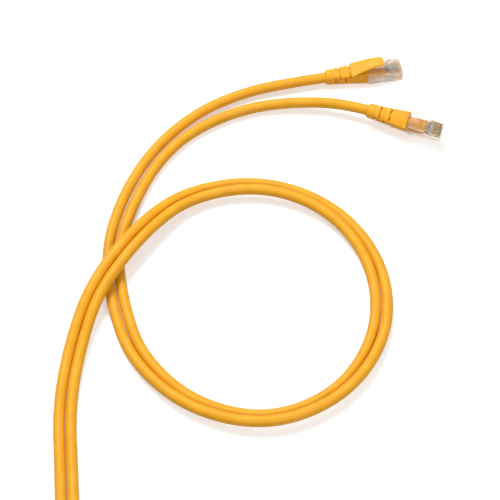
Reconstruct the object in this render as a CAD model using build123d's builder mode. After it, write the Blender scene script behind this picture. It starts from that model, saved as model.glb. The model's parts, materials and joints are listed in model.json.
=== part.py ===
"""Ethernet patch cable: two clear 8-contact plugs in snagless boots on one round four-pair cord.

Each plug is drawn in its own frame: +X is the way it goes into a socket, with the nose face at
x = 0, +Y is across its width and +Z is its latch side, with the contact face at z = 0.  Plug A
lies latch up and plug B lies on its latch guard, contacts up.  The row frame has +Z up and its
origin on the surface the cable lies on, under the middle of the two plugs.
"""
import os
from math import pi, radians, tan

from build123d import *

os.makedirs("parts", exist_ok=True)

# ------------------------------------------------------------ driving dimensions, millimetres
# cord
cord_diameter = 6.0
core_diameter = 0.52
# plug housing
plug_width = 11.68
plug_length = 21.46
nose_height = 6.6
rear_height = 8.0
rear_step = 16.2
spigot_length = 1.3
spigot_inset = 0.9
# contacts and wires
contact_count = 8
contact_pitch = 1.02
wire_gap = 0.06
contact_thickness = 0.35
contact_front = 1.2
contact_length = 4.1
contact_recess = 0.55
wire_row_height = 3.9
wire_front = 0.9
jacket_front = 9.8
squeezed_width = 7.0
squeezed_height = 5.1
load_bar_length = 1.8
load_bar_width = 8.9
load_bar_height = 2.3
# latch
latch_width = 6.2
latch_tab_width = 3.25
latch_shoulder = 8.36
latch_reach = 15.0
latch_thickness = 1.1
latch_lift = 2.75
latch_travel = 7.5
# boot
boot_front_width = 11.3
boot_rear_width = 9.8
boot_height = 8.5
block_length = 9.6
relief_length = 14.7
tail_diameter = 8.2
groove_width = 1.05
groove_pitch = 2.95
groove_count = 4
groove_floor = 0.4
top_web = 0.9
side_web = 2.7
# latch guard, the hood that stands over the latch
hood_width = 8.6
hood_tip_width = 5.6
hood_tip = 11.3
hood_tip_height = 13.5
hood_thickness = 1.3
hood_barrel = 0.7
# the tied coil at the folded end of the cord, turns stacked two high
coil_radius = 34.0
coil_centre = (-135.8, -310.0)
coil_layers = 2
layer_pitch = 6.15
tie_width = 10.0
tie_thickness = 0.8
# clearances
slip = 0.05
swing = 0.12
latch_gap = 0.3

# ------------------------------------------------------------ places that follow from them
cable_axis = boot_height / 2 + 0.05
wire_diameter = contact_pitch - wire_gap
boot_front = plug_length - spigot_length
block_rear = boot_front + block_length
boot_tail = block_rear + relief_length
cord_start = boot_tail - 4.0
bore_radius = cord_diameter / 2 + slip
spigot_size = (plug_width - 2 * spigot_inset, 2 * (bore_radius + 0.5))
row = [(i - (contact_count - 1) / 2) * contact_pitch for i in range(contact_count)]
squeezed_centre = nose_height / 2
load_bar_rear = 7.3
latch_pivot = (-0.95, nose_height + 0.05)
latch_root = 0.5
hood_pivot = (-block_rear + 0.9, cable_axis + bore_radius + groove_floor + hood_barrel)
# the latch follows the hood where the hood's rib bears on the latch's free end
bearing_x = -(latch_reach - 0.7)
hood_arm = bearing_x - hood_pivot[0]
latch_arm = latch_pivot[0] - bearing_x
latch_per_hood = hood_arm / latch_arm
hood_travel = latch_travel / latch_per_hood


# ------------------------------------------------------------ the pieces of one plug
def jacket_shape(extra, rear, front):
    """The end of the cord's jacket: round in the boot, squeezed to an oval in the housing."""
    round_end = plug_length - 1.2
    oval_start = rear_step - 0.8
    with BuildPart() as jacket:
        with BuildSketch(Plane.YZ.offset(-rear)):
            with Locations((0, cable_axis)):
                Circle(cord_diameter / 2 + extra)
        extrude(amount=rear - round_end)
        with BuildSketch(Plane.YZ.offset(-round_end)):
            with Locations((0, cable_axis)):
                Circle(cord_diameter / 2 + extra)
        with BuildSketch(Plane.YZ.offset(-oval_start)):
            with Locations((0, squeezed_centre)):
                Ellipse(squeezed_width / 2 + extra, squeezed_height / 2 + extra)
        loft()
        with BuildSketch(Plane.YZ.offset(-oval_start)):
            with Locations((0, squeezed_centre)):
                Ellipse(squeezed_width / 2 + extra, squeezed_height / 2 + extra)
        extrude(amount=oval_start - front)
    return jacket.part


def make_housing():
    """Clear shell: taller at the rear, with a comb of contact slots under its nose."""
    bar_room = 0.1
    wire_space = load_bar_height + 2 * bar_room
    window_front, window_rear, window_width = 10.3, 13.6, 6.2
    with BuildPart() as housing:
        with BuildSketch(Plane.XZ):
            with BuildLine():
                Polyline((0, 0), (0, nose_height), (-rear_step, nose_height),
                         (-rear_step - 0.9, rear_height), (-plug_length, rear_height),
                         (-plug_length, 0), close=True)
            make_face()
        extrude(amount=plug_width / 2, both=True)
        chamfer(housing.faces().sort_by(Axis.X)[-1].edges().filter_by(Axis.Z), 0.5)
        chamfer(housing.faces().sort_by(Axis.X)[-1].edges().filter_by(Axis.Y), 0.3)
        fillet(housing.faces().sort_by(Axis.Z)[-1].edges().filter_by(Axis.X), 0.6)
        # a narrower spigot at the rear, which the boot grips
        with BuildSketch(Plane.YZ.offset(-plug_length)):
            with Locations((0, rear_height / 2)):
                Rectangle(2 * plug_width, 2 * rear_height)
            with Locations((0, cable_axis)):
                RectangleRounded(*spigot_size, 1.0, mode=Mode.SUBTRACT)
        extrude(amount=spigot_length, mode=Mode.SUBTRACT)
        # tunnel for the jacket, and the space ahead of it where the wires fan out
        add(jacket_shape(0.06, plug_length, jacket_front), mode=Mode.SUBTRACT)
        with BuildSketch(Plane.YZ.offset(-jacket_front - 0.3)):
            with Locations((0, wire_row_height - 0.2)):
                RectangleRounded(load_bar_width + 2 * bar_room, wire_space + 1.3, 0.5)
        extrude(amount=jacket_front + 0.3 - load_bar_rear, mode=Mode.SUBTRACT)
        with BuildSketch(Plane.YZ.offset(-load_bar_rear)):
            with Locations((0, wire_row_height)):
                Rectangle(load_bar_width + 2 * slip, load_bar_height + 2 * slip)
        extrude(amount=load_bar_length + slip, mode=Mode.SUBTRACT)
        # one flat channel for the row of wires
        channel_rear = load_bar_rear - load_bar_length
        with BuildSketch(Plane.YZ.offset(-channel_rear)):
            with Locations((0, wire_row_height)):
                Rectangle(row[-1] - row[0] + wire_diameter + 0.1, wire_diameter + 0.1)
        extrude(amount=channel_rear - wire_front + slip, mode=Mode.SUBTRACT)
        # a slot for each contact, open at the face and low on the nose
        slot = contact_thickness + 2 * slip
        with BuildSketch(Plane.XY):
            for y in row:
                with Locations((-contact_front - contact_length / 2, y)):
                    Rectangle(contact_length + 2 * slip, slot)
        extrude(amount=wire_row_height, mode=Mode.SUBTRACT)
        with BuildSketch(Plane.XY):
            for y in row:
                with Locations((-contact_front / 2, y)):
                    Rectangle(contact_front + 0.1, slot)
        extrude(amount=2.1, mode=Mode.SUBTRACT)
        # strain-relief window in the contact face, with its bar pressed in against the jacket
        with BuildSketch(Plane.XY):
            with Locations((-(window_front + window_rear) / 2, 0)):
                Rectangle(window_rear - window_front, window_width)
        extrude(amount=squeezed_centre, mode=Mode.SUBTRACT)
        with BuildSketch(Plane.XY.offset(0.15)):
            with Locations((-window_rear + 0.9, 0)):
                Rectangle(2.4, window_width - 1.0)
        jacket_underside = squeezed_centre - squeezed_height / 2
        extrude(amount=jacket_underside - 0.15 - slip)
        # seat for the latch's root
        with BuildSketch(Plane.XZ):
            with Locations(latch_pivot):
                Circle(latch_root + swing)
        extrude(amount=latch_width / 2 + swing, both=True, mode=Mode.SUBTRACT)
    return housing.part


def make_latch():
    """Spring latch: a round root at the nose, two locking shoulders and a narrow thumb tab."""
    root_x, root_z = latch_pivot
    tip = (-latch_reach, nose_height + latch_lift)
    with BuildPart() as latch:
        with BuildSketch(Plane.XZ):
            with Locations(latch_pivot):
                Circle(latch_root)
            with BuildLine():
                Polyline((root_x + 0.1, root_z + latch_root - 0.02), (root_x - 0.3, root_z + 0.1),
                         (-latch_shoulder, nose_height + 1.2), (-latch_shoulder, nose_height + 2.75),
                         (-3.2, nose_height + 1.45), close=True)
            make_face()
        extrude(amount=latch_width / 2, both=True)
        with BuildSketch(Plane.XZ):
            with BuildLine():
                Polyline((-latch_shoulder + 1.0, nose_height + 1.25), (-latch_shoulder, nose_height + 1.2),
                         tip, (tip[0], tip[1] + latch_thickness), (tip[0] + 3.0, tip[1] + latch_thickness),
                         (-latch_shoulder + 1.0, nose_height + 2.4), close=True)
            make_face()
        extrude(amount=latch_tab_width / 2, both=True)
        fillet(latch.faces().sort_by(Axis.X)[0].edges().filter_by(Axis.Z), 0.5)
    return latch.part


def make_contacts():
    """Eight gilded blades: a round-nosed contact edge below, three insulation teeth above."""
    top = wire_row_height - core_diameter / 2 - 0.01
    gum = top - 0.75
    rear = -contact_front - contact_length
    tooth = 1.1
    with BuildPart() as contacts:
        for y in row:
            with BuildSketch(Plane.XZ.offset(-y)):
                with BuildLine():
                    Polyline((-contact_front, contact_recess), (rear, contact_recess), (rear, gum),
                             (rear + 0.4, gum), (rear + 0.4 + tooth / 2, top), (rear + 0.4 + tooth, gum),
                             (rear + 0.4 + 3 * tooth / 2, top), (rear + 0.4 + 2 * tooth, gum),
                             (rear + 0.4 + 5 * tooth / 2, top), (rear + 0.4 + 3 * tooth, gum),
                             (-contact_front, gum), close=True)
                make_face()
            extrude(amount=contact_thickness / 2, both=True)
        lower_front = contacts.edges().filter_by(Axis.Y).group_by(Axis.X)[-1].group_by(Axis.Z)[0]
        fillet(lower_front, 0.6)
    return contacts.part


def make_load_bar():
    """Small comb that keeps the eight wires in their row."""
    with BuildPart() as bar:
        with BuildSketch(Plane.YZ.offset(-load_bar_rear)):
            with Locations((0, wire_row_height)):
                Rectangle(load_bar_width, load_bar_height)
                Rectangle(row[-1] - row[0] + wire_diameter + 0.06, wire_diameter + 0.06,
                          mode=Mode.SUBTRACT)
        extrude(amount=load_bar_length)
    return bar.part


def wire_path(index):
    """A wire's line, from the jacket's squeezed end to its own place in the row."""
    y = row[index]
    rise = 0.62 if index % 2 else -0.62
    with BuildLine() as path:
        fan = Spline((-jacket_front, 0.78 * y, squeezed_centre + 0.35 + rise),
                     (-load_bar_rear - 0.1, y, wire_row_height),
                     tangents=[(1, 0, 0), (1, 0, 0)])
        Line(fan @ 1, (-wire_front, y, wire_row_height))
    return path.wire()


def make_wire(index):
    """One conductor's coloured insulation, cut through below by its contact."""
    with BuildPart() as wire:
        path = wire_path(index)
        with BuildSketch(Plane(origin=path @ 0, z_dir=path % 0)):
            Circle(wire_diameter / 2)
            Circle(core_diameter / 2 + 0.01, mode=Mode.SUBTRACT)
        sweep(path=path)
        with BuildSketch(Plane.XY.offset(wire_row_height - wire_diameter)):
            with Locations((-contact_front - contact_length / 2, row[index])):
                Rectangle(contact_length + 2 * slip, contact_thickness + 0.02)
        extrude(amount=wire_diameter, mode=Mode.SUBTRACT)
    return wire.part


def make_wire_cores():
    """The eight copper conductors inside the insulation."""
    with BuildPart() as cores:
        for index in range(contact_count):
            path = wire_path(index)
            with BuildSketch(Plane(origin=path @ 0, z_dir=path % 0)):
                Circle(core_diameter / 2)
            sweep(path=path)
    return cores.part


def make_boot():
    """Snagless boot: a flat-sided block, then a ribbed relief that tapers to the cord."""
    floor_radius = bore_radius + groove_floor
    with BuildPart() as boot:
        with BuildSketch(Plane.YZ.offset(-boot_front)):
            with Locations((0, cable_axis)):
                RectangleRounded(boot_front_width, boot_height, 1.3)
        with BuildSketch(Plane.YZ.offset(-block_rear)):
            with Locations((0, cable_axis)):
                RectangleRounded(boot_rear_width, boot_height, 2.2)
        loft()
        with BuildSketch(Plane.YZ.offset(-block_rear)):
            with Locations((0, cable_axis)):
                RectangleRounded(boot_rear_width, boot_height, 2.2)
        with BuildSketch(Plane.YZ.offset(-boot_tail)):
            with Locations((0, cable_axis)):
                RectangleRounded(tail_diameter, tail_diameter, tail_diameter / 2 - 0.1)
        loft()
        with BuildSketch(Plane.YZ.offset(-boot_tail)):
            with Locations((0, cable_axis)):
                Circle(bore_radius)
        extrude(amount=boot_tail - boot_front, mode=Mode.SUBTRACT)
        # pocket that grips the housing's spigot
        with BuildSketch(Plane.YZ.offset(-plug_length - slip)):
            with Locations((0, cable_axis)):
                RectangleRounded(spigot_size[0] + 2 * slip, spigot_size[1] + 2 * slip, 1.0)
        extrude(amount=spigot_length + slip, mode=Mode.SUBTRACT)
        # grooves, by turns over the top and bottom and into both sides, counted from the block
        for count in range(groove_count):
            groove_x = -block_rear - 0.2 - count * groove_pitch - groove_width
            with BuildSketch(Plane.YZ.offset(groove_x)):
                with Locations((0, cable_axis)):
                    Circle(boot_front_width)
                    Circle(floor_radius, mode=Mode.SUBTRACT)
                    if count % 2:
                        Rectangle(3 * boot_front_width, 2 * side_web, mode=Mode.INTERSECT)
                    else:
                        Rectangle(3 * boot_front_width, 2 * top_web, mode=Mode.SUBTRACT)
            extrude(amount=groove_width, mode=Mode.SUBTRACT)
        # seat for the hood's root
        with BuildSketch(Plane.XZ):
            with Locations(hood_pivot):
                Circle(hood_barrel + swing)
        extrude(amount=boot_front_width, both=True, mode=Mode.SUBTRACT)
        # shallow ramp ahead of it, so that the pressed hood doesn't bear on the block
        pivot_x, pivot_z = hood_pivot
        with BuildSketch(Plane.XZ):
            with BuildLine():
                Polyline((pivot_x, pivot_z + 1.0), (pivot_x, pivot_z - 0.45),
                         (pivot_x + 5.0, pivot_z + 0.11), (pivot_x + 5.0, pivot_z + 1.0), close=True)
            make_face()
        extrude(amount=boot_front_width, both=True, mode=Mode.SUBTRACT)
    return boot.part


def make_hood():
    """Latch guard: a curved flap that springs from the boot and covers the latch's free end."""
    pivot_x, pivot_z = hood_pivot
    tip_top = (-hood_tip, hood_tip_height)
    tip_under = (-hood_tip, hood_tip_height - hood_thickness)
    rib_front, rib_rear = bearing_x + 0.6, bearing_x - 0.6
    latch_top = nose_height + latch_lift + latch_thickness
    with BuildPart() as hood:
        with BuildSketch(Plane.XZ):
            with BuildLine():
                top = Spline((pivot_x, pivot_z + hood_barrel), (pivot_x + 9.0, hood_tip_height - 1.3),
                             tip_top, tangents=[(1, 0.42), (1, 0.02)])
                under = Spline(tip_under, (pivot_x + 9.2, hood_tip_height - 1.3 - hood_thickness),
                               (pivot_x + 0.3, pivot_z + 0.1), tangents=[(-1, -0.02), (-1, -0.42)])
                Line(top @ 1, under @ 0)
                Line(under @ 1, top @ 0)
            make_face()
            with Locations(hood_pivot):
                Circle(hood_barrel)
        extrude(amount=hood_width / 2, both=True)
        # taper towards the tip
        with BuildSketch(Plane.XY) as plan:
            with BuildLine():
                Polyline((pivot_x - 2, -hood_width / 2), (pivot_x + 2, -hood_width / 2),
                         (-hood_tip, -hood_tip_width / 2), (-hood_tip, hood_tip_width / 2),
                         (pivot_x + 2, hood_width / 2), (pivot_x - 2, hood_width / 2), close=True)
            make_face()
            fillet(plan.vertices().group_by(Axis.X)[-1], 1.2)
        extrude(amount=2 * hood_tip_height, mode=Mode.INTERSECT)
        # rib under the tip that bears on the latch
        with BuildSketch(Plane.XY.offset(latch_top + latch_gap)):
            with Locations(((rib_front + rib_rear) / 2, 0)):
                Rectangle(rib_front - rib_rear, latch_tab_width)
        extrude(amount=tip_under[1] - latch_top - latch_gap + 0.3)
    return hood.part


# ------------------------------------------------------------ where the plugs and the cord lie
plug_a_nose = (10.8, 24.7)
plug_a_yaw = 9.5
plug_b_nose = (30.9, -25.5)
plug_b_yaw = -21.6
plug_b_roll = 180 + 22
plug_b_nose_up = 3.0

wire_colours = ["white_orange", "orange", "white_green", "blue",
                "white_blue", "green", "white_brown", "brown"]

plug_pieces = {"housing": make_housing(), "latch": make_latch(), "contacts": make_contacts(),
               "load_bar": make_load_bar(), "wire_cores": make_wire_cores(),
               "jacket_end": jacket_shape(0, cord_start, jacket_front),
               "boot": make_boot(), "boot_hood": make_hood()}
for index, colour in enumerate(wire_colours):
    plug_pieces["wire_" + colour] = make_wire(index)


def turned(yaw, nose_up=0.0, roll=0.0):
    """A turn about the plug's own width and length, then about the vertical."""
    return Location((0, 0, 0), (0, 0, yaw)) * Location((0, 0, 0), (0, -nose_up, 0)) \
        * Location((0, 0, 0), (roll, 0, 0))


def standing(nose, turn):
    """The plug's place, with its lowest piece on the surface at z = 0."""
    lowest = min(piece.moved(turn).bounding_box().min.Z for piece in plug_pieces.values())
    return Location((nose[0], nose[1], -lowest)) * turn


plug_a = standing(plug_a_nose, turned(plug_a_yaw))
plug_b = standing(plug_b_nose, turned(plug_b_yaw, plug_b_nose_up, plug_b_roll))

for end, place in (("a", plug_a), ("b", plug_b)):
    for name, piece in plug_pieces.items():
        placed = piece.moved(place)
        placed.label = name + "_" + end
        export_step(placed, "parts/" + placed.label + ".step")


# ------------------------------------------------------------ the cord
# Each strand's line runs from its boot, round the big loop, over the strands' own first stretch
# and down to the coil.  Where the two lie against each other the outer one leans on the inner
# one at the near side of the loop, and the inner one on the outer one at the far side.
exit_run = {"a": 23.0, "b": 18.0}
coil_low = tie_thickness + 0.1 + layer_pitch / 2
coil_high = coil_low + (coil_layers - 1) * layer_pitch
hump = 11.0

route_a = [(-79.8, 8, 3), (-106.8, -6, 3), (-130.3, -30, 3), (-146.3, -60, 3), (-155.1, -96, 3),
           (-149.9, -132.5, 3), (-137.8, -165.5, 4.2), (-107.2, -193.7, 6), (-64.6, -203.2, 6.8),
           (-24.3, -184.3, 6.6), (-1.7, -146, 5), (-4.2, -102.4, 3), (-29.4, -67.4, 3),
           (-68.9, -51, 3), (-111.5, -57.8, 3), (-138.3, -85.5, hump), (-161.2, -121, hump),
           (-171.1, -152, 4.5), (-176, -189, 3), (-172.8, -227, 3), (-170.2, -263, 3),
           (-169.8, coil_centre[1] + 16, coil_low)]
route_b = [(-51.8, 0.4, 4.5), (-80.3, -3.5, 3), (-107.8, -17.5, 3), (-126.8, -37.3, 3),
           (-140.8, -66.4, 3), (-148.9, -98, 3), (-143.3, -132, 3), (-132.5, -161.9, 3),
           (-104.8, -188.5, 3), (-65.4, -197.8, 3), (-28, -180.2, 3), (-8.1, -144.4, 3),
           (-10.4, -104.3, 4.8), (-33, -72.1, 6.3), (-69.4, -57, 6.5), (-108.6, -63.6, 5.2),
           (-133.1, -89, hump), (-156.1, -124.4, hump), (-165.1, -153.3, 4.5),
           (-169.8, -189.2, 3), (-166.6, -226.7, 3), (-164.6, -251.6, 4), (-155.7, -267.4, 8),
           (-140.1, -275.8, coil_high), (-123.8, coil_centre[1] + coil_radius, coil_high)]


def route_points(plug, end, points):
    """The strand's points, the first two on the plug's own axis so that it leaves straight."""
    start = plug * Location((-cord_start, 0, cable_axis))
    after = plug * Location((-cord_start - exit_run[end], 0, cable_axis))
    return [start.position, after.position] + [Vector(*point) for point in points]


def bend_radii(points):
    """The largest arc that fits at each corner of the route."""
    radii = []
    for before, corner, after in zip(points, points[1:], points[2:]):
        shorter = min((corner - before).length, (after - corner).length)
        turn = (corner - before).get_angle(after - corner)
        radii.append(0.45 * shorter / tan(radians(turn / 2)))
    return radii


def make_strand(name, points):
    """A round tube along straight runs joined by arcs."""
    radii = bend_radii(points)
    with BuildPart() as strand:
        with BuildLine() as line:
            FilletPolyline(*points, radius=radii)
        path = line.wire()
        with BuildSketch(Plane(origin=path @ 0, z_dir=path % 0)):
            Circle(cord_diameter / 2)
        sweep(path=path)
    expected = pi * (cord_diameter / 2) ** 2 * path.length
    print(name, "length", round(path.length, 1), "tightest", round(min(radii), 1),
          "radii", [round(radius) for radius in radii],
          "runs", [round((b - a).length) for a, b in zip(points, points[1:])],
          "volume ratio", round(strand.part.volume / expected, 4))
    return strand.part


def make_coil():
    """Outer shape of the coiled length: a ring one cord wide and two cords high."""
    with BuildPart() as coil:
        with BuildSketch(Plane.XZ.offset(-coil_centre[1])):
            with Locations((coil_centre[0] + coil_radius, (coil_low + coil_high) / 2)):
                RectangleRounded(cord_diameter, coil_high - coil_low + cord_diameter,
                                 cord_diameter / 2 - 0.2)
        revolve(axis=Axis((coil_centre[0], coil_centre[1], 0), (0, 0, 1)))
    return coil.part


def make_tie():
    """Hook-and-loop strap round both layers of the coil, at the side farthest from the plugs."""
    arc = tie_width / coil_radius * 180 / pi
    middle = (coil_centre[0] + coil_radius, (coil_low + coil_high) / 2)
    inside = (cord_diameter + 2 * slip, coil_high - coil_low + cord_diameter + 2 * slip)
    with BuildPart() as tie:
        with BuildSketch(Plane.XZ.offset(-coil_centre[1])):
            with Locations(middle):
                RectangleRounded(inside[0] + 2 * tie_thickness, inside[1] + 2 * tie_thickness,
                                 cord_diameter / 2 + tie_thickness - 0.2)
                RectangleRounded(*inside, cord_diameter / 2 - 0.2, mode=Mode.SUBTRACT)
        revolve(axis=Axis((coil_centre[0], coil_centre[1], 0), (0, 0, 1)), revolution_arc=arc)
    swing_round = Location((coil_centre[0], coil_centre[1], 0), (0, 0, -90 - arc / 2)) \
        * Location((-coil_centre[0], -coil_centre[1], 0))
    return tie.part.moved(swing_round)


cord_pieces = {"cord_strand_a": make_strand("strand a", route_points(plug_a, "a", route_a)),
               "cord_strand_b": make_strand("strand b", route_points(plug_b, "b", route_b)),
               "cord_coil": make_coil(), "cord_tie": make_tie()}
for name, piece in cord_pieces.items():
    piece.label = name
    export_step(piece, "parts/" + name + ".step")
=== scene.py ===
# %% [markdown]
# # A looped network patch cable
# The object is one round cord with a clear plug at each end.  The designed model gives every
# plug piece at its real size, and this lesson gives the cable its looks: the long soft cord,
# the moulded boots and their latch guards, the clear shells and the parts inside them.
# The model is in metres, in the frame of the designed one.  Sizes are thought of in millimetres,
# and a factor or a matrix brings them to metres.

# %% Load the frame
import json
import math

import bmesh
import bpy
from mathutils import Matrix, Vector, geometry


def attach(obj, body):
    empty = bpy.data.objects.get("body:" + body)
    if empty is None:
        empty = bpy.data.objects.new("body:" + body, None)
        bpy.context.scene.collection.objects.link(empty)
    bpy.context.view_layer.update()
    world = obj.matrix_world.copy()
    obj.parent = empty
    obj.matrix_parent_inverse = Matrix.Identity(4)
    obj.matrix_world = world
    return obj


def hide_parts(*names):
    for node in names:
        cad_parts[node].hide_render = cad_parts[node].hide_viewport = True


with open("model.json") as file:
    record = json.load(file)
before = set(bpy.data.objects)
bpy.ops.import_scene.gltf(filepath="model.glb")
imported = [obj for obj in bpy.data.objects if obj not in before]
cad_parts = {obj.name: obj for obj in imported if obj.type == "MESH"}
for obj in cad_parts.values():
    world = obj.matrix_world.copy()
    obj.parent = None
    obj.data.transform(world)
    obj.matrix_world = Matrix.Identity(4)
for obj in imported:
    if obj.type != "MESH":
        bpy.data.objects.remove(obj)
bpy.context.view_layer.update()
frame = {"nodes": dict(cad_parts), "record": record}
record = frame["record"]
mm = 0.001

# %% [markdown]
# ## The camera
# The cable lies on a table and is looked at from 60 degrees above it, through a long lens, so
# that the loop stays nearly round.  The camera is set first, because the part of the cord that
# is put away has to lie outside its view.

# %% Camera
view_height = math.radians(60)
view_distance = 0.997
looked_at = Vector((-76.3, -94.5, 0)) * mm
camera = bpy.data.objects.new("camera", bpy.data.cameras.new("camera"))
camera.data.lens = 131.5
camera.data.sensor_width = 36
away = Vector((0, -math.cos(view_height), math.sin(view_height)))
camera.location = looked_at + view_distance * away
camera.rotation_euler = (math.pi / 2 - view_height, 0, 0)
bpy.context.scene.collection.objects.link(camera)
bpy.context.scene.camera = camera

# %% [markdown]
# ## Table and light
# A pale table and broad soft lamps show satin plastic well: a wide lamp gives the cord one long
# quiet highlight along its top, and the bright surroundings keep the shadows light.  The table
# glows faintly, so that shadows on it stay pale, but it throws no light back on the cable.

# %% Table, lamps and surroundings
table_reach = 3
table_drop = 0.2 * mm
scene = bpy.context.scene
scene.view_settings.view_transform = "Standard"


def node_material(name):
    """A new material, its node tree and its main shader."""
    material = bpy.data.materials.new(name)
    material.use_nodes = True
    tree = material.node_tree
    return material, tree, tree.nodes["Principled BSDF"]


bench = bmesh.new()
bmesh.ops.create_grid(bench, x_segments=2, y_segments=2, size=table_reach)
table_mesh = bpy.data.meshes.new("table")
bench.to_mesh(table_mesh)
bench.free()
table = bpy.data.objects.new("table", table_mesh)
table.location.z = -table_drop
scene.collection.objects.link(table)
table_paint, _, shader = node_material("table_paint")
shader.inputs["Base Color"].default_value = (0.9, 0.9, 0.9, 1)
shader.inputs["Roughness"].default_value = 0.7
shader.inputs["Emission Color"].default_value = (1, 1, 1, 1)
shader.inputs["Emission Strength"].default_value = 0.34
table_mesh.materials.append(table_paint)
table.visible_diffuse = False

surroundings = bpy.data.worlds.new("surroundings")
surroundings.use_nodes = True
backdrop = surroundings.node_tree.nodes["Background"]
backdrop.inputs["Color"].default_value = (1, 1, 1, 1)
backdrop.inputs["Strength"].default_value = 0.42
scene.world = surroundings


def lamp(name, place, size, power):
    """A square soft lamp that shines on the cable."""
    light = bpy.data.lights.new(name, "AREA")
    light.size = size
    light.energy = power
    holder = bpy.data.objects.new(name, light)
    holder.location = place
    holder.rotation_euler = (looked_at - Vector(place)).to_track_quat("-Z", "Y").to_euler()
    scene.collection.objects.link(holder)


lamp("lamp_top_left", (-0.4, 0.55, 1.15), 0.6, 18)
lamp("lamp_front", (0.35, -0.9, 0.8), 0.6, 5)

# %% [markdown]
# ## Finishes
# Soft vinyl is never one flat colour.  A wide noise shifts its colour and its gloss a little,
# and a fine one in the bump breaks up the highlight.  Their grain is a fraction of a
# millimetre, so each is given by the number of its cells in a metre.

# %% Soft vinyl and other opaque plastics


def mottled(tree, shader, dark, light, cells, roughness, grain, depth):
    """Colour that wanders between two near shades, and a fine grain in the surface."""
    place = tree.nodes.new("ShaderNodeTexCoord")
    cloud = tree.nodes.new("ShaderNodeTexNoise")
    cloud.inputs["Scale"].default_value = cells
    cloud.inputs["Detail"].default_value = 4
    shades = tree.nodes.new("ShaderNodeValToRGB")
    shades.color_ramp.elements[0].position = 0.35
    shades.color_ramp.elements[1].position = 0.65
    shades.color_ramp.elements[0].color = (*dark, 1)
    shades.color_ramp.elements[1].color = (*light, 1)
    fine = tree.nodes.new("ShaderNodeTexNoise")
    fine.inputs["Scale"].default_value = grain
    fine.inputs["Detail"].default_value = 2
    bump = tree.nodes.new("ShaderNodeBump")
    bump.inputs["Strength"].default_value = 0.35
    bump.inputs["Distance"].default_value = depth
    sheen = tree.nodes.new("ShaderNodeMapRange")
    sheen.inputs["To Min"].default_value = roughness - 0.05
    sheen.inputs["To Max"].default_value = roughness + 0.07
    link = tree.links.new
    link(place.outputs["Object"], cloud.inputs["Vector"])
    link(place.outputs["Object"], fine.inputs["Vector"])
    link(cloud.outputs["Fac"], shades.inputs["Fac"])
    link(shades.outputs["Color"], shader.inputs["Base Color"])
    link(cloud.outputs["Fac"], sheen.inputs["Value"])
    link(sheen.outputs["Result"], shader.inputs["Roughness"])
    link(fine.outputs["Fac"], bump.inputs["Height"])
    link(bump.outputs["Normal"], shader.inputs["Normal"])


jacket_vinyl, tree, shader = node_material("jacket_vinyl")
mottled(tree, shader, (0.72, 0.325, 0.012), (0.78, 0.365, 0.018), cells=120, roughness=0.42,
        grain=2200, depth=0.00003)
shader.inputs["Specular IOR Level"].default_value = 0.2

boot_vinyl, tree, shader = node_material("boot_vinyl")
mottled(tree, shader, (0.75, 0.335, 0.013), (0.82, 0.38, 0.019), cells=240, roughness=0.46,
        grain=3200, depth=0.00004)
shader.inputs["Specular IOR Level"].default_value = 0.2

comb_plastic, tree, shader = node_material("comb_plastic")
mottled(tree, shader, (0.66, 0.63, 0.58), (0.74, 0.71, 0.66), cells=900, roughness=0.35,
        grain=4000, depth=0.00001)
shader.inputs["Transmission Weight"].default_value = 0.45

# %% [markdown]
# ## Metal and clear plastic
# The contacts are gilded and the conductors are bare copper, so both are metals with a faint
# grain.  The shell is clear moulded plastic.  With full transmission and its true refraction
# it would bend the view of what lies inside it, so it is part transmission and part plain
# transparency, and it refracts weakly.  Its base colour carries a warm tint, which is a painted
# reflection of the orange vinyl round it.

# %% Metals of the contacts and conductors


def drawn_metal(name, colour, roughness):
    """Bright metal with faint drawing marks."""
    material, tree, shader = node_material(name)
    darker = tuple(0.85 * part for part in colour)
    mottled(tree, shader, darker, colour, cells=1500, roughness=roughness, grain=9000,
            depth=0.000004)
    shader.inputs["Metallic"].default_value = 1
    return material


contact_gold = drawn_metal("contact_gold", (0.95, 0.70, 0.36), 0.34)
conductor_copper = drawn_metal("conductor_copper", (0.80, 0.38, 0.20), 0.30)

# %% Clear moulded shell
shell_clear, tree, shader = node_material("shell_clear")
# The warm tint is a painted reflection of the orange vinyl round the shell; the clear plastic itself
# has no such colour.
shader.inputs["Base Color"].default_value = (0.91, 0.81, 0.70, 1)
shader.inputs["Roughness"].default_value = 0.12
shader.inputs["IOR"].default_value = 1.3
shader.inputs["Transmission Weight"].default_value = 0.88
shader.inputs["Alpha"].default_value = 0.66
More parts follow.
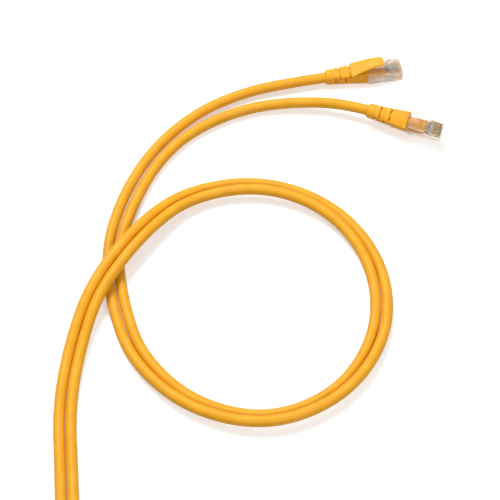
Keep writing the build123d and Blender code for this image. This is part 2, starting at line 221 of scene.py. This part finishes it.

# %% [markdown]
# ## The cord
# The cord is a fixed length of something flexible, so it is one smooth curve that keeps its
# length.  Its points are placed on the table, a few centimetres apart, and a NURBS
# curve runs near them without ever turning sharply.  It leaves one boot, runs beside itself
# round the loop, climbs over its own first stretch and ends in the other boot.  At its folded
# end, two layers of turns make a small coil, and a loop of the script places those.

# %% The cord's route
cord_radius = 3.0 * mm
out_of_boot_a = [(-29.11, 18.02, 4.3), (-51.79, 14.23, 4.3)]
out_of_boot_b = [(-5.88, -9.21, 8.12), (-22.59, -2.59, 7.18)]
hump = 11.0
strand_a = [(-79.8, 8, 3), (-106.8, -6, 3), (-130.3, -30, 3), (-146.3, -60, 3), (-155.1, -96, 3),
            (-149.9, -132.5, 3), (-137.8, -165.5, 4.2), (-107.2, -193.7, 6), (-64.6, -203.2, 6.8),
            (-24.3, -184.3, 6.6), (-1.7, -146, 5), (-4.2, -102.4, 3), (-29.4, -67.4, 3),
            (-68.9, -51, 3), (-111.5, -57.8, 3), (-138.3, -85.5, hump), (-161.2, -121, hump),
            (-171.1, -152, 4.5), (-176, -189, 3), (-172.8, -227, 3), (-170.2, -263, 3)]
strand_b = [(-51.8, 0.4, 4.5), (-80.3, -3.5, 3), (-107.8, -17.5, 3), (-126.8, -37.3, 3),
            (-140.8, -66.4, 3), (-148.9, -98, 3), (-143.3, -132, 3), (-132.5, -161.9, 3),
            (-104.8, -188.5, 3), (-65.4, -197.8, 3), (-28, -180.2, 3), (-8.1, -144.4, 3),
            (-10.4, -104.3, 4.8), (-33, -72.1, 6.3), (-69.4, -57, 6.5), (-108.6, -63.6, 5.2),
            (-133.1, -89, hump), (-156.1, -124.4, hump), (-165.1, -153.3, 4.5),
            (-169.8, -189.2, 3), (-166.6, -226.7, 3), (-164.6, -251.6, 4), (-155.7, -267.4, 8)]

# %% The coil's turns
coil_centre = Vector((-135.8, -310, 0))
coil_radius = 34
coil_turn_count = 1.75
lower_layer, upper_layer = 3.975, 10.125
climb_starts, climb_length = 0.78, 0.2
steps_a_turn = 16
turn_step = 2 * math.pi / steps_a_turn
ring_of_points = coil_radius / math.cos(turn_step / 2)
coil_turns = []
for step in range(round(coil_turn_count * steps_a_turn)):
    angle = math.pi + (step + 0.5) * turn_step
    climb = ((step + 0.5) / steps_a_turn - climb_starts) / climb_length
    layer = lower_layer + (upper_layer - lower_layer) * min(max(climb, 0), 1)
    coil_turns.append((coil_centre.x + ring_of_points * math.cos(angle),
                       coil_centre.y + ring_of_points * math.sin(angle), layer))

# %% The cord's curve
route = out_of_boot_a + strand_a + coil_turns + list(reversed(out_of_boot_b + strand_b))
line = bpy.data.curves.new("cord", "CURVE")
line.dimensions = "3D"
spline = line.splines.new("NURBS")
spline.points.add(len(route) - 1)
for point, place in zip(spline.points, route):
    point.co = (*(Vector(place) * mm), 1)
spline.order_u = 3
spline.use_endpoint_u = True
spline.resolution_u = 14
line.bevel_depth = cord_radius
line.bevel_resolution = 12
line.use_fill_caps = True
line.materials.append(jacket_vinyl)
cord = bpy.data.objects.new("cord", line)
scene.collection.objects.link(cord)
print("cord length", round(spline.calc_length(), 4))
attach(cord, "cable")
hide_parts("cord_strand_a", "cord_coil", "cord_strand_b")

# %% [markdown]
# ## A frame for each plug
# Each plug is drawn most easily in its own millimetres: the nose at x = 0, +X the way it goes
# into a socket and +Z its latch side.  One matrix then carries a finished mesh to its place, and
# the object itself stays at the origin.  The matrix comes from the mount at the nose and from
# the hood's hinge, and the sizes come from the boxes of the designed pieces in that frame.

# %% The plug's own frame
nose_height = 6.6
mounts = {mount["name"]: mount for mount in record["mounts"]}
joints = {joint["name"]: joint for joint in record["behaviour"]["joints"]}


def plug_frame(end):
    """The matrix from a plug's own millimetres to the model's metres."""
    nose = mounts[f"plug_{end}_insertion"]
    along = Vector(nose["axis"]).normalized()
    across = Vector(joints[f"hood_press_{end}"]["axis"]).normalized()
    up = along.cross(across)
    turn = Matrix((along, across, up)).transposed().to_4x4()
    place = Vector(nose["pos_m"]) - up * nose_height / 2 * mm
    return Matrix.Translation(place) @ turn @ Matrix.Scale(mm, 4)


def own_box(node, end):
    """Lowest and highest corners of a designed piece in its plug's millimetres."""
    back = plug_frame(end).inverted()
    corners = [back @ vertex.co for vertex in frame["nodes"][node].data.vertices]
    return [[pick(corner[axis] for corner in corners) for axis in range(3)] for pick in (min, max)]


boot_low, boot_high = own_box("boot_a", "a")
hood_low, hood_high = own_box("boot_hood_a", "a")
print("boot", boot_low, boot_high)
print("hood", hood_low, hood_high)


def finished(bench, name, place, material, body, replaced, sharp=35):
    """Make the bench's mesh an object in its place, smooth but for its sharp edges."""
    bmesh.ops.remove_doubles(bench, verts=bench.verts, dist=0.001)
    bmesh.ops.recalc_face_normals(bench, faces=bench.faces)
    for face in bench.faces:
        face.smooth = True
    for edge in bench.edges:
        edge.smooth = not (edge.is_manifold and edge.calc_face_angle() > math.radians(sharp))
    bench.transform(place)
    mesh = bpy.data.meshes.new(name)
    bench.to_mesh(mesh)
    bench.free()
    mesh.materials.append(material)
    piece = bpy.data.objects.new(name, mesh)
    scene.collection.objects.link(piece)
    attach(piece, body)
    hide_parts(*replaced)
    print(name, len(mesh.polygons), "faces")
    return piece


# %% [markdown]
# ## Rings that grow into a moulding
# Soft mouldings change their width, depth and corners all along.  Such a form can start as one
# circle of edges that is extruded again and again, each new ring being moved to its own shape.
# The same circle serves every shape: its points go out to the sides of a rectangle by a factor
# that says how square it is, so the corners stay round and the sides keep a slight crown.

# %% Rings
squareness = 1.6


def unit_ring(bench, around):
    """A circle of edges, its points on a unit circle, and its edges to grow from."""
    ring = bmesh.ops.create_circle(bench, cap_ends=False, radius=1, segments=around)["verts"]
    return ring, [(vertex.co.x, vertex.co.y) for vertex in ring], list(bench.edges)


def next_ring(bench, edges):
    """The points and the edges of a ring extruded from the last one."""
    grown = bmesh.ops.extrude_edge_only(bench, edges=edges)["geom"]
    ring = [part for part in grown if isinstance(part, bmesh.types.BMVert)]
    return ring, [part for part in grown if isinstance(part, bmesh.types.BMEdge)
                  and all(vertex in ring for vertex in part.verts)]


def rounded(corner, half_width, half_depth, radius):
    """A point of a unit circle, moved out to a rectangle with soft corners and crowned sides."""
    spread = [min(max(squareness * part, -1), 1) for part in corner]
    return (radius * corner[0] + (half_width - radius) * spread[0],
            radius * corner[1] + (half_depth - radius) * spread[1])


# %% [markdown]
# ## The boots
# A boot is one soft moulding: a flat-sided block at the plug, then a tapering relief with
# cross-cut grooves that let it bend.  It could be cut from a block with booleans, but every
# groove would need its edges softened afterwards.  Here one ring of points is extruded along
# the boot and reshaped at each station, so that grooves, soft edges and taper come in one pass.

# %% Boot
boot_bore_clearance = 0.05
cable_axis = (boot_low[2] + boot_high[2]) / 2
bore_radius = cord_radius / mm + boot_bore_clearance
boot_front, boot_tail = boot_high[0], boot_low[0]
block_length = 9.6
block_rear = boot_front - block_length
hood_root = block_rear + 0.9
front_half = (boot_high[1] - boot_low[1]) / 2
rear_half = 4.9
half_height = (boot_high[2] - boot_low[2]) / 2
front_corner, rear_corner, tail_radius = 1.4, 2.3, 4.1
groove_width, groove_pitch, groove_count = 1.05, 2.95, 4
groove_start, groove_slope = block_rear - 0.2, 0.06
groove_floor = bore_radius + 0.4
top_web, side_web, bottom_cut = 0.9, 2.7, 3.6
front_round, front_lift = 1.8, 0.75
ramp_length, ramp_depth = 5, 0.55
ramp_rings = (7, ramp_length, 3, 1.4, 0, -0.45)

# Each soft edge is a few steps: a distance from the edge, and how far the ring is drawn in.
front_edge = [(0, 0.55), (0.12, 0.25), (0.4, 0.06), (0.9, 0), (1.3, 0), (front_round, 0)]
groove_lip = [(0.2, 0), (0.04, 0.05), (0, 0.16)]
tail_edge = [(1.6, 0), (0.6, 0.04), (0.25, 0.16), (0, 0.5)]


def boot_section(x):
    """Half width, half height and corner radius of the boot at x."""
    if x > block_rear:
        share = (boot_front - x) / block_length
        return (front_half + (rear_half - front_half) * share, half_height,
                front_corner + (rear_corner - front_corner) * share)
    share = (block_rear - x) / (block_rear - boot_tail)
    return (rear_half + (tail_radius - rear_half) * share,
            half_height + (tail_radius - half_height) * share,
            rear_corner + (tail_radius - rear_corner) * share)


def boot_stations():
    """Each ring's place, how far it is drawn in, and the groove whose floor it is on."""
    rings = [(boot_front - behind, drawn_in, None) for behind, drawn_in in front_edge]
    rings += [(hood_root + ahead, 0, None) for ahead in ramp_rings]
    lip_depth = groove_lip[-1][1]
    for count in range(groove_count):
        front_wall = groove_start - count * groove_pitch
        rear_wall = front_wall - groove_width
        rings += [(front_wall + ahead, drawn_in, None) for ahead, drawn_in in groove_lip]
        rings += [(front_wall - groove_slope, lip_depth, count),
                  (rear_wall + groove_slope, lip_depth, count)]
        rings += [(rear_wall - behind, drawn_in, None) for behind, drawn_in in groove_lip[::-1]]
    return rings + [(boot_tail + ahead, drawn_in, None) for ahead, drawn_in in tail_edge]


def ramp_height(x):
    """Top of the shallow ramp that gives the pressed hood its room."""
    if hood_root <= x <= hood_root + ramp_length:
        return half_height - ramp_depth * (1 - (x - hood_root) / ramp_length)
    return half_height


def bottom_depth(x):
    """Depth of the underside below the cord's middle, rounded up toward the front."""
    past = max(0, 1 - (boot_front - x) / front_round)
    return half_height - front_lift * (1 - math.sqrt(1 - past ** 2))


def make_boot(end):
    """The boot's outside from nose to tail, then its bore back to the front."""
    bench = bmesh.new()
    ring, unit, edges = unit_ring(bench, 96)
    for number, (x, drawn_in, groove) in enumerate(boot_stations()):
        if number:
            ring, edges = next_ring(bench, edges)
        width, height, radius = boot_section(x)
        for vertex, corner in zip(ring, unit):
            y, z = rounded(corner, width - drawn_in, height - drawn_in, radius)
            if groove is not None:
                under = z < -top_web and abs(y) < bottom_cut
                cut = abs(z) < side_web if groove % 2 else z > top_web or under
                reach = math.hypot(y, z)
                if cut and reach > groove_floor:
                    y, z = y * groove_floor / reach, z * groove_floor / reach
            vertex.co = (x, y, cable_axis + max(min(z, ramp_height(x)), -bottom_depth(x)))
    for x in (boot_tail, boot_front):
        ring, edges = next_ring(bench, edges)
        for vertex, corner in zip(ring, unit):
            vertex.co = (x, bore_radius * corner[0], cable_axis + bore_radius * corner[1])
    rims = [edge for edge in bench.edges if edge.is_boundary]
    bmesh.ops.bridge_loops(bench, edges=rims)
    return finished(bench, f"boot_moulding_{end}", plug_frame(end), boot_vinyl, "cable",
                    [f"boot_{end}"])


for end in "ab":
    make_boot(end)

# %% [markdown]
# ## The latch guards
# The hood is moulded in one with the boot, so its root lies flush on the block, as wide as the
# block itself, and its flap rises in a soft curve over the latch.  Rings of a flat rounded
# section, extruded along that curve, give its thickness, its taper and its rounded tip.

# %% Hood
hood_thickness, hood_crown, hood_corner = 1.3, 0.3, 0.55
root_ahead, root_sunk, root_inset = 0.03, 0.62, 0.06
root_rise, tip_level = Vector((5.4, 0, 1.55)), Vector((-8.2, 0, -0.1))
tip_half, tip_round, tip_thinning = 3.0, 1.1, 0.3
tip_under = hood_high[2] - hood_thickness

# The rings stand evenly along the curve, and closer together where the tip rounds off.
curve_points = 121
ring_points = (*range(0, 109, 6), 111, 114, 116, 118, 119, 120)

rib_length, rib_width, rib_edge = 1.2, 3.25, 0.15
rib_behind_tip, rib_clearance, rib_in_flap = 3.0, 0.3, 0.5
latch_top = own_box("latch_a", "a")[1][2]


def make_hood(end):
    """A flap along a curve from the block's top to its free tip, and the rib under the tip."""
    start = Vector((block_rear + root_ahead, 0, cable_axis + half_height - root_sunk))
    finish = Vector((hood_high[0], 0, hood_high[2] - hood_thickness / 2))
    curve = geometry.interpolate_bezier(start, start + root_rise, finish + tip_level, finish,
                                        curve_points)
    line = [curve[place] for place in ring_points]
    bench = bmesh.new()
    ring, unit, edges = unit_ring(bench, 48)
    last = len(line) - 1
    for number, point in enumerate(line):
        if number:
            ring, edges = next_ring(bench, edges)
        share = (point.x - start.x) / (finish.x - start.x)
        ahead = (line[min(number + 1, last)] - line[max(number - 1, 0)]).normalized()
        up = Vector((-ahead.z, 0, ahead.x))
        half = rear_half - root_inset + (tip_half - rear_half) * share
        past = min(1, max(0, 1 - (finish.x - point.x) / tip_round))
        half -= tip_round * (1 - math.sqrt(1 - past ** 2))
        thinned = 1 - tip_thinning * past ** 4
        for vertex, corner in zip(ring, unit):
            y, z = rounded(corner, half, hood_thickness / 2 * thinned, hood_corner * thinned)
            crown = hood_crown * (1 - (y / half) ** 2) * min(1, 2 * share)
            vertex.co = point + Vector((0, y, 0)) + up * (z + crown)
    loops = [edge for edge in bench.edges if edge.is_boundary]
    bmesh.ops.edgeloop_fill(bench, edges=loops)
    rib = bmesh.ops.create_cube(bench, size=1)["verts"]
    rib_low, rib_high = latch_top + rib_clearance, tip_under + rib_in_flap
    rib_middle = Vector((hood_high[0] - rib_behind_tip, 0, (rib_low + rib_high) / 2))
    bmesh.ops.scale(bench, vec=(rib_length, rib_width, rib_high - rib_low), verts=rib)
    bmesh.ops.translate(bench, vec=rib_middle, verts=rib)
    rib_edges = list(dict.fromkeys(edge for vertex in rib for edge in vertex.link_edges))
    bmesh.ops.bevel(bench, geom=rib_edges, offset=rib_edge, offset_type="OFFSET", segments=2,
                    profile=0.5, affect="EDGES", material=-1)
    return finished(bench, f"latch_guard_{end}", plug_frame(end), boot_vinyl, f"hood_{end}",
                    [f"boot_hood_{end}"], sharp=50)


for end in "ab":
    make_hood(end)

# %% [markdown]
# ## The wires
# Each plug holds eight insulated wires in four pairs.  One wire of a pair is a plain colour and
# the other is white with short bands of that colour.  The bands cross the wire, so their
# pattern is turned to the plug's own length by a Mapping node.

# %% Wire insulation
pair_colours = {"orange": (0.74, 0.30, 0.10), "green": (0.07, 0.26, 0.12),
                "blue": (0.05, 0.09, 0.30), "brown": (0.17, 0.08, 0.045)}
wire_gloss = {"cells": 900, "roughness": 0.38, "grain": 5000, "depth": 0.000006}
band_cells, band_starts = 170, 0.78


def plain_wire(name, colour):
    """Smooth coloured insulation."""
    material, tree, shader = node_material(name)
    darker = tuple(0.8 * part for part in colour)
    mottled(tree, shader, darker, colour, **wire_gloss)
    return material


def banded_wire(name, colour, end):
    """White insulation with bands of the pair's colour across the wire."""
    material, tree, shader = node_material(name)
    mottled(tree, shader, (0.80, 0.79, 0.76), (0.87, 0.86, 0.83), **wire_gloss)
    white = tree.nodes["Color Ramp"]
    place = tree.nodes.new("ShaderNodeTexCoord")
    turn = tree.nodes.new("ShaderNodeMapping")
    turn.vector_type = "TEXTURE"
    turn.inputs["Rotation"].default_value = plug_frame(end).to_euler()
    bands = tree.nodes.new("ShaderNodeTexWave")
    bands.inputs["Scale"].default_value = band_cells
    edge = tree.nodes.new("ShaderNodeMath")
    edge.operation = "GREATER_THAN"
    edge.inputs[1].default_value = band_starts
    paint = tree.nodes.new("ShaderNodeMix")
    paint.data_type = "RGBA"
    paint.inputs["B"].default_value = (*colour, 1)
    link = tree.links.new
    link(place.outputs["Object"], turn.inputs["Vector"])
    link(turn.outputs["Vector"], bands.inputs["Vector"])
    link(bands.outputs["Fac"], edge.inputs[0])
    link(edge.outputs["Value"], paint.inputs["Factor"])
    link(white.outputs["Color"], paint.inputs["A"])
    link(paint.outputs["Result"], shader.inputs["Base Color"])
    return material


def cover(node, material):
    """Give a designed piece its finish."""
    for place in frame["nodes"][node].material_slots:
        place.material = material


for pair, colour in pair_colours.items():
    insulation = plain_wire(f"insulation_{pair}", colour)
    for end in "ab":
        cover(f"wire_{pair}_{end}", insulation)
        cover(f"wire_white_{pair}_{end}", banded_wire(f"insulation_white_{pair}_{end}", colour, end))

# %% [markdown]
# ## Finishes on the designed pieces
# The shells, latches, contacts, comb and conductors have their right shape already, so they
# only take a finish.  The clear shell lets the jacket, the wires and the comb show through.

# %% Finishes on the designed pieces
cad_finish = {"housing": shell_clear, "latch": shell_clear, "contacts": contact_gold,
              "load_bar": comb_plastic, "wire_cores": conductor_copper,
              "jacket_end": jacket_vinyl}
for kind, material in cad_finish.items():
    for end in "ab":
        cover(f"{kind}_{end}", material)

# %% [markdown]
# ## The tie
# A hook-and-loop strap holds the coil.  It is a thin woven band round both layers of turns, and
# its end lies on its own first turn.  The band is one closed outline swept a short way round
# the coil with spin, and a Solidify modifier gives it its thickness.  Its weave is a fine bump.

# %% Strap material
strap_weave, tree, shader = node_material("strap_weave")
mottled(tree, shader, (0.008, 0.008, 0.010), (0.022, 0.022, 0.025), cells=500, roughness=0.85,
        grain=4500, depth=0.0002)
shader.inputs["Sheen Weight"].default_value = 0.3
shader.inputs["Sheen Roughness"].default_value = 0.5

# %% Strap
strap_thickness, strap_width = 0.8, 10
strap_turn = strap_width / coil_radius
strap_clearance, strap_flat, strap_edge = 0.05, 0.2, 0.15
end_from_middle, end_hangs = 1.5, 2
wall_share = 0.9
stack_middle = (lower_layer + upper_layer) / 2
half_wide = cord_radius / mm + strap_clearance + strap_thickness / 2
half_tall = (upper_layer - lower_layer) / 2 + half_wide


def strap_outline(bench, grow):
    """The strap's closed outline round the stacked turns, in a plane through the coil's middle."""
    circle = bmesh.ops.create_circle(bench, cap_ends=False, radius=1, segments=72)["verts"]
    for vertex in circle:
        across, tall = rounded((vertex.co.x, vertex.co.y), half_wide + grow, half_tall + grow,
                               half_wide + grow - strap_flat)
        vertex.co = (across + coil_radius, 0, tall + stack_middle)
    return circle


def make_tie():
    """The band and its overlapping end, swept round the coil and thickened."""
    bench = bmesh.new()
    strap_outline(bench, 0)
    over = strap_outline(bench, strap_thickness)
    past_the_end = [vertex for vertex in over if vertex.co.x <= coil_radius - end_from_middle
                    or vertex.co.z <= stack_middle - end_hangs]
    bmesh.ops.delete(bench, geom=past_the_end, context="VERTS")
    bmesh.ops.spin(bench, geom=list(bench.verts) + list(bench.edges), cent=(0, 0, 0),
                   axis=(0, 0, 1), angle=strap_turn, steps=8, use_merge=False)
    bmesh.ops.rotate(bench, cent=(0, 0, 0), verts=bench.verts,
                     matrix=Matrix.Rotation(-math.pi / 2 - strap_turn / 2, 3, "Z"))
    place = Matrix.Translation(coil_centre * mm) @ Matrix.Scale(mm, 4)
    strap = finished(bench, "coil_strap", place, strap_weave, "cable", ["cord_tie"])
    wall = strap.modifiers.new("thickness", "SOLIDIFY")
    wall.thickness = strap_thickness * mm * wall_share
    wall.offset = 0
    soft = strap.modifiers.new("soft edges", "BEVEL")
    soft.width = strap_edge * mm
    soft.segments = 2
    soft.limit_method = "ANGLE"
    return strap


coil_strap = make_tie()
